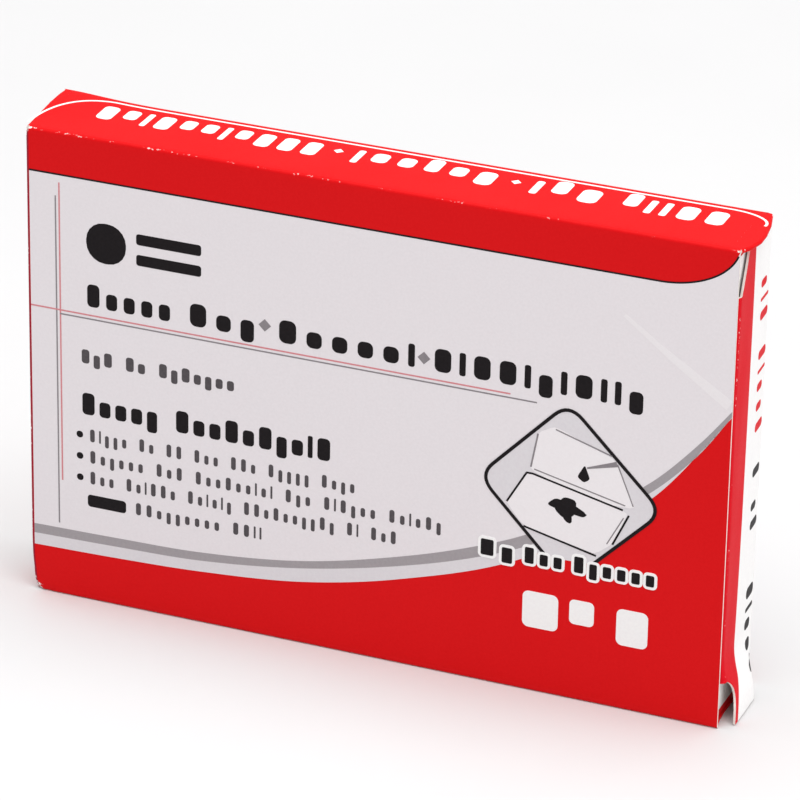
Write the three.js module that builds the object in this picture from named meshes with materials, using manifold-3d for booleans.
// A stamp pad in its folding carton, standing on its long edge.
// Millimetres, +Z up. X runs along the length, the front faces -Y, and the origin is
// the middle of the carton's bottom face.
import * as THREE from 'three';
import { mergeVertices } from 'three/addons/utils/BufferGeometryUtils.js';
import Module from 'manifold-3d';

const wasm = await Module();
wasm.setup();

// ---- Stamp pad: driving dimensions, as it lies flat with its lid up ----
const padLength = 122;
const padWidth = 84;
const tinCorner = 4;             // radius of the tin's corners, seen from above
const sheet = 0.4;               // thickness of the tinplate
const lidGap = 0.4;              // between the lid's skirt and the tray's walls
const skirtDepth = 7;            // depth of the lid at the front and the sides
const lipLength = 24;
const lipReach = 0.4;
const lipHeight = 1.2;

const seat = 0.2;                // between layers that rest on each other
const backingThickness = 2;
const feltThickness = 7.8;
const feltBorderThickness = 5;   // of the felt where the frame presses it down
const cloth = 0.4;
const borderWidth = 2.8;         // from the frame's outer edge to the raised cloth
const frameWidth = 2.3;          // flange of the frame, seen from above
const frameRise = 1.6;           // height of the frame's upstand
const rimOverFrame = 0.4;        // the tray's rim stands this far above the frame
const lidHeadroom = 2;           // between the cloth and the closed lid

const wireRadius = 0.45;
const wireOverhang = 0.5;        // the wire's end past the last knuckle
const boreClearance = 0.07;
const knuckleRadius = 0.9;
const knuckleStandoff = 0.1;     // between the tray's wall and the lid's knuckle
const rimOverKnuckle = 0.3;      // the tray's rim stands this far above the knuckles
const hingeClearance = 0.3;      // between a knuckle and the skirt that turns past it
const lidKnuckleLength = 30;
const trayKnuckleLength = 10;
const knuckleGap = 1.5;

// ---- Carton: driving dimensions ----
const board = 0.4;               // thickness of the folding board
const foldGap = 0.3;             // between two layers of board that lie against each other
const creaseGap = 0.1;           // between a panel and the flap that is creased to it
const endPlay = 1.4;             // room for the pad at each end
const topPlay = 0.6;             // room above the pad's hinge
const lidPlay = 1;               // room between the lid and the right tuck tongue
const restGap = 0.3;             // under the pad, where it stands in the carton
const backGap = 0.2;             // between the tray's floor and the left tuck tongue

const glueFlapWidth = 11;
const glueFlapInset = 4;         // from the carton's end to the flap's root
const glueFlapTaper = 6;         // how much each end slants in over the flap's width

const endPanelShort = 0.5;       // the end panel stops this far short of the top and bottom
const bendWidth = 1.6;           // width of the rounded bend that leads to the tongue
const slitLength = 8;            // slit lock, at each end of the tuck crease
const shoulderShort = 1.5;       // the tongue's shoulder stops this far short of the panel's end
const tongueLength = 12;
const tongueTipRadius = 4.5;

const dustFlapLength = 16;
const dustFlapTaper = 0.53;      // slant of its edge beside the end panel's hinge
const dustFlapSetback = 0.4;     // from the hinge-side wall to the flap's root
const lockShort = 2;             // its full-width stretch ends this far short of the slit's end
const tongueClearance = 0.6;     // between the flap's edge and the tongue beside it
const dustTipRadius = 1.5;

// ---- Worked out from the driving dimensions ----
const trayLength = padLength - 2 * (sheet + lidGap);
const trayWidth = padWidth - 2 * (sheet + lidGap);
const trayCorner = tinCorner - sheet - lidGap;
const floorInside = sheet + seat;
const feltBottom = floorInside + backingThickness + seat;
const feltStep = feltBottom + feltBorderThickness;
const feltTop = feltBottom + feltThickness;
const crownTop = feltTop + seat + cloth;
const frameBottom = feltStep + seat + cloth + seat;
const trayHeight = frameBottom + frameRise + rimOverFrame;
const padHeight = crownTop + lidHeadroom + sheet;
const hingeY = trayWidth / 2 + knuckleStandoff + knuckleRadius;
const hingeZ = trayHeight - rimOverKnuckle - knuckleRadius;
const hingeBack = hingeY + knuckleRadius;        // the pad's furthest point at its hinge
const lipFront = padWidth / 2 + lipReach;        // and at its lip

const endStack = 2 * board + foldGap;            // two layers of board and their gap
const cartonLength = padLength + 2 * (endStack + endPlay);
const cartonDepth = padHeight + 2 * endStack + backGap + lidPlay;
const padStand = 2 * board + restGap;            // height of the pad's lower edge
const cartonHeight = padStand + lipFront + hingeBack + topPlay + board;
const xEnd = cartonLength / 2;
const yWall = cartonDepth / 2;
const yInside = yWall - board;
const zInside = cartonHeight - board;
const flapFace = xEnd - board - foldGap;         // outer face of a closed dust flap

// ---- Materials ----
const material = (color, roughness, metalness = 0) =>
  new THREE.MeshStandardMaterial({ color, roughness, metalness });
const printedBoard = material(0xd8141c, 0.35);
const greyPrint = material(0xe0dcde, 0.35);
const whitePrint = material(0xf4f2ee, 0.4);
const rawBoard = material(0xd9d3c6, 0.9);
const paintedTin = material(0x24272c, 0.4, 0.5);
const plainTin = material(0xb9bcc0, 0.3, 0.9);
const steelWire = material(0xa9acb0, 0.3, 1);
const greyBoard = material(0xa29a8b, 0.95);
const feltWool = material(0xf0eee8, 0.95);
const whiteCloth = material(0xf7f6f2, 0.9);

// ---- Shapes ----
const root = new THREE.Group();

function addNode(parent, name, geometry, look) {
  const mesh = new THREE.Mesh(geometry, look);
  mesh.name = name;
  parent.add(mesh);
  return mesh;
}

function boxBetween([x0, y0, z0], [x1, y1, z1]) {
  const geometry = new THREE.BoxGeometry(x1 - x0, y1 - y0, z1 - z0);
  return geometry.translate((x0 + x1) / 2, (y0 + y1) / 2, (z0 + z1) / 2);
}

// A closed outline through the corners; a corner given as [x, y, cut] is rounded off.
function outline(corners) {
  const shape = new THREE.Shape();
  corners.forEach(([x, y, cut = 0], i) => {
    const corner = new THREE.Vector2(x, y);
    const before = new THREE.Vector2(...corners.at(i - 1).slice(0, 2));
    const after = new THREE.Vector2(...corners[(i + 1) % corners.length].slice(0, 2));
    const start = corner.clone().add(before.sub(corner).setLength(cut));
    const end = corner.clone().add(after.sub(corner).setLength(cut));
    if (i === 0) shape.moveTo(start.x, start.y);
    else shape.lineTo(start.x, start.y);
    if (cut > 0) shape.quadraticCurveTo(x, y, end.x, end.y);
  });
  shape.closePath();
  return shape;
}

// Plates of a given thickness. Each takes its outline in the two axes that it lies in
// and runs from `start` along the third one.
function plate(shape, thickness, xAxis, yAxis, offset) {
  const geometry = new THREE.ExtrudeGeometry(shape, {
    depth: thickness, bevelEnabled: false, curveSegments: 6,
  });
  const zAxis = new THREE.Vector3().crossVectors(xAxis, yAxis);
  geometry.applyMatrix4(new THREE.Matrix4().makeBasis(xAxis, yAxis, zAxis));
  return geometry.translate(...offset);
}
const X = new THREE.Vector3(1, 0, 0);
const Y = new THREE.Vector3(0, 1, 0);
const Z = new THREE.Vector3(0, 0, 1);
const plateAcrossX = (shape, start, thickness) => plate(shape, thickness, Y, Z, [start, 0, 0]);
const plateAcrossY = (shape, start, thickness) =>
  plate(shape, thickness, X, Z, [0, start + thickness, 0]);
const plateAcrossZ = (shape, start, thickness) => plate(shape, thickness, X, Y, [0, 0, start]);

function toSolid(geometry) {
  const bare = geometry.clone();
  bare.deleteAttribute('normal');
  bare.deleteAttribute('uv');
  const merged = mergeVertices(bare);
  return new wasm.Manifold(new wasm.Mesh({
    numProp: 3,
    vertProperties: new Float32Array(merged.attributes.position.array),
    triVerts: new Uint32Array(merged.index.array),
  }));
}

function toGeometry(solid) {
  const { vertProperties, triVerts } = solid.getMesh();
  const geometry = new THREE.BufferGeometry();
  geometry.setAttribute('position', new THREE.BufferAttribute(vertProperties, 3));
  geometry.setIndex(new THREE.BufferAttribute(triVerts, 1));
  const flat = geometry.toNonIndexed();
  flat.computeVertexNormals();
  return flat;
}

// A block with rounded upright edges, centred on the origin in X and Y.
function roundedBlock(length, width, radius, bottom, top) {
  const [x, y] = [length / 2 - radius, width / 2 - radius];
  const shape = new THREE.Shape();
  shape.absarc(x, y, radius, 0, Math.PI / 2);
  shape.absarc(-x, y, radius, Math.PI / 2, Math.PI);
  shape.absarc(-x, -y, radius, Math.PI, 1.5 * Math.PI);
  shape.absarc(x, -y, radius, 1.5 * Math.PI, 2 * Math.PI);
  shape.closePath();
  return toSolid(plateAcrossZ(shape, bottom, top - bottom));
}

// ---- Carton sleeve ----
function addSleeve() {
  const wall = (y0, y1) => boxBetween([-xEnd, y0, 0], [xEnd, y1, cartonHeight]);
  addNode(root, 'front_panel', wall(-yWall, -yInside), greyPrint);
  addNode(root, 'back_panel', wall(yInside, yWall), printedBoard);

  const cover = (z0, z1) => boxBetween([-xEnd, -yInside, z0], [xEnd, yInside, z1]);
  addNode(root, 'top_panel', cover(zInside, cartonHeight), printedBoard);
  addNode(root, 'bottom_panel', cover(0, board), printedBoard);

  const rootX = xEnd - glueFlapInset;
  const tipX = rootX - glueFlapTaper;
  const tipY = yInside - glueFlapWidth;
  const glueFlap = outline([[-rootX, yInside], [-tipX, tipY], [tipX, tipY], [rootX, yInside]]);
  addNode(root, 'glue_flap', plateAcrossZ(glueFlap, board, board), rawBoard);
}

// ---- Carton ends ----
// The right end: its panel is creased to the back, and its tongue goes in behind the
// front. The left end is the same set turned half round.
const panelLow = board + endPanelShort;
const panelHigh = cartonHeight - panelLow;
const tuckEdge = -yInside + foldGap;

function endPanel() {
  const hingeEdge = yInside - creaseGap;
  const slitEdge = tuckEdge + bendWidth;
  return plateAcrossX(outline([
    [slitEdge, panelLow], [hingeEdge, panelLow], [hingeEdge, panelHigh], [slitEdge, panelHigh],
    [slitEdge, panelHigh - slitLength], [tuckEdge, panelHigh - slitLength],
    [tuckEdge, panelLow + slitLength], [slitEdge, panelLow + slitLength],
  ]), xEnd - board, board);
}

// The tongue leaves the bend between the two slits, passes the dust flaps and widens
// behind them in two rounded shoulders.
function tuckTongue() {
  const rootX = xEnd - board;
  const neckX = flapFace - board - foldGap;
  const shoulder = slitLength - shoulderShort;
  const wideX = neckX - shoulder;
  const tipX = rootX - tongueLength;
  const tipRadius = Math.min(tongueTipRadius, wideX - tipX);
  const tipCentreX = tipX + tipRadius;
  const low = panelLow + slitLength;
  const high = panelHigh - slitLength;
  const shape = new THREE.Shape();
  shape.moveTo(rootX, low);
  shape.lineTo(rootX, high);
  shape.lineTo(neckX, high);
  shape.absarc(wideX, high, shoulder, 0, Math.PI / 2);
  shape.absarc(tipCentreX, high + shoulder - tipRadius, tipRadius, Math.PI / 2, Math.PI);
  shape.absarc(tipCentreX, low - shoulder + tipRadius, tipRadius, Math.PI, 1.5 * Math.PI);
  shape.absarc(wideX, low, shoulder, 1.5 * Math.PI, 2 * Math.PI);
  shape.closePath();
  return plateAcrossY(shape, tuckEdge, board);
}

// `zAt` turns a distance from the crease into a height, so one outline serves the top
// and the bottom flap.
function dustFlap(zAt) {
  const hingeSide = (reach) => yInside - dustFlapSetback - dustFlapTaper * reach;
  const clearEdge = tuckEdge + board + tongueClearance;
  const lockLength = slitLength - lockShort;
  const shoulderEnd = lockLength + clearEdge - tuckEdge;
  return plateAcrossX(outline([
    [tuckEdge, zAt(0)], [tuckEdge, zAt(lockLength)], [clearEdge, zAt(shoulderEnd)],
    [clearEdge, zAt(dustFlapLength), dustTipRadius],
    [hingeSide(dustFlapLength), zAt(dustFlapLength), dustTipRadius],
    [hingeSide(0), zAt(0)],
  ]), flapFace - board, board);
}

function addEnd(side, half) {
  const place = (geometry) => geometry.applyMatrix4(new THREE.Matrix4().makeScale(half, half, 1));
  const topCrease = zInside - creaseGap;
  const bottomCrease = board + creaseGap;
  addNode(root, `${side}_end_panel`, place(endPanel()), whitePrint);
  addNode(root, `${side}_tuck_tongue`, place(tuckTongue()), printedBoard);
  addNode(root, `${side}_top_dust_flap`, place(dustFlap((r) => topCrease - r)), rawBoard);
  addNode(root, `${side}_bottom_dust_flap`, place(dustFlap((r) => bottomCrease + r)), rawBoard);
}

// ---- Stamp pad, built lying flat with its lid up ----
function knuckle(centreX, length) {
  const tube = (radius, reach) => toSolid(new THREE.CylinderGeometry(radius, radius, reach, 24)
    .rotateZ(Math.PI / 2).translate(centreX, hingeY, hingeZ));
  return { barrel: tube(knuckleRadius, length), bore: tube(wireRadius + boreClearance, length + 1) };
}

const trayKnuckleX = lidKnuckleLength / 2 + knuckleGap + trayKnuckleLength / 2;
const webOverlap = 0.2;          // how far a knuckle's web runs into what it joins

function tinTray() {
  const innerLength = trayLength - 2 * sheet;
  const innerWidth = trayWidth - 2 * sheet;
  let tray = roundedBlock(trayLength, trayWidth, trayCorner, 0, trayHeight)
    .subtract(roundedBlock(innerLength, innerWidth, trayCorner - sheet, sheet, trayHeight + 1));
  for (const centreX of [-trayKnuckleX, trayKnuckleX]) {
    const { barrel, bore } = knuckle(centreX, trayKnuckleLength);
    const web = toSolid(boxBetween(
      [centreX - trayKnuckleLength / 2, trayWidth / 2 - webOverlap, hingeZ + wireRadius],
      [centreX + trayKnuckleLength / 2, hingeY, hingeZ + knuckleRadius],
    ));
    tray = tray.add(barrel).add(web).subtract(bore);
  }
  return toGeometry(tray);
}

// The lid's skirt is shorter at the back, where it ends above the knuckles, and at the
// front it turns out into a small lip for the thumb.
function tinLid() {
  const underside = padHeight - sheet;
  const skirtBottom = padHeight - skirtDepth;
  const backBottom = hingeZ + knuckleRadius + hingeClearance;
  const innerLength = padLength - 2 * sheet;
  const innerWidth = padWidth - 2 * sheet;
  const skirtInside = padWidth / 2 - sheet;
  const backCut = toSolid(boxBetween(
    [-(padLength / 2 - tinCorner), skirtInside - lidGap, skirtBottom - 1],
    [padLength / 2 - tinCorner, padWidth / 2 + 1, backBottom],
  ));
  const lip = toSolid(boxBetween(
    [-lipLength / 2, -lipFront, skirtBottom],
    [lipLength / 2, -skirtInside, skirtBottom + lipHeight],
  ));
  const { barrel, bore } = knuckle(0, lidKnuckleLength);
  const web = toSolid(boxBetween(
    [-lidKnuckleLength / 2, skirtInside, hingeZ + wireRadius],
    [lidKnuckleLength / 2, padWidth / 2, backBottom + webOverlap],
  ));
  return toGeometry(roundedBlock(padLength, padWidth, tinCorner, skirtBottom, padHeight)
    .subtract(roundedBlock(innerLength, innerWidth, tinCorner - sheet, skirtBottom - 1, underside))
    .subtract(backCut).add(lip).add(barrel).add(web).subtract(bore));
}

function addPad() {
  const pad = new THREE.Group();
  pad.rotation.x = Math.PI / 2;
  pad.position.set(0, yWall - endStack - backGap, padStand + lipFront);
  root.add(pad);

  addNode(pad, 'tin_tray', tinTray(), paintedTin);
  addNode(pad, 'tin_lid', tinLid(), paintedTin);

  const wireLength = 2 * (trayKnuckleX + trayKnuckleLength / 2 + wireOverhang);
  const wire = new THREE.CylinderGeometry(wireRadius, wireRadius, wireLength, 16);
  addNode(pad, 'hinge_wire', wire.rotateZ(Math.PI / 2).translate(0, hingeY, hingeZ), steelWire);

  const insideLength = trayLength - 2 * (sheet + seat);
  const insideWidth = trayWidth - 2 * (sheet + seat);
  const insideCorner = trayCorner - sheet - seat;
  // A block set in by `inset` from the space inside the tray's walls.
  const inside = (inset, bottom, top) => roundedBlock(
    insideLength - 2 * inset, insideWidth - 2 * inset, insideCorner, bottom, top);

  const backing = inside(0, floorInside, floorInside + backingThickness);
  addNode(pad, 'backing_board', toGeometry(backing), greyBoard);

  const raised = borderWidth + cloth + seat;
  const felt = inside(0, feltBottom, feltStep).add(inside(raised, feltStep - 1, feltTop));
  addNode(pad, 'felt_pad', toGeometry(felt), feltWool);

  // The cloth lies over the felt like a hat: a brim under the frame, and a crown.
  const brimBottom = feltStep + seat;
  const clothSolid = inside(0, brimBottom, brimBottom + cloth)
    .add(inside(borderWidth, brimBottom, crownTop))
    .subtract(inside(borderWidth + cloth, brimBottom - 1, crownTop - cloth));
  addNode(pad, 'pad_cloth', toGeometry(clothSolid), whiteCloth);

  const frame = inside(0, frameBottom, frameBottom + frameRise)
    .subtract(inside(sheet, frameBottom + sheet, frameBottom + frameRise + 1))
    .subtract(inside(frameWidth, frameBottom - 1, frameBottom + frameRise));
  addNode(pad, 'cloth_frame', toGeometry(frame), plainTin);
}

addSleeve();
addEnd('right', 1);
addEnd('left', -1);
addPad();

export default root;
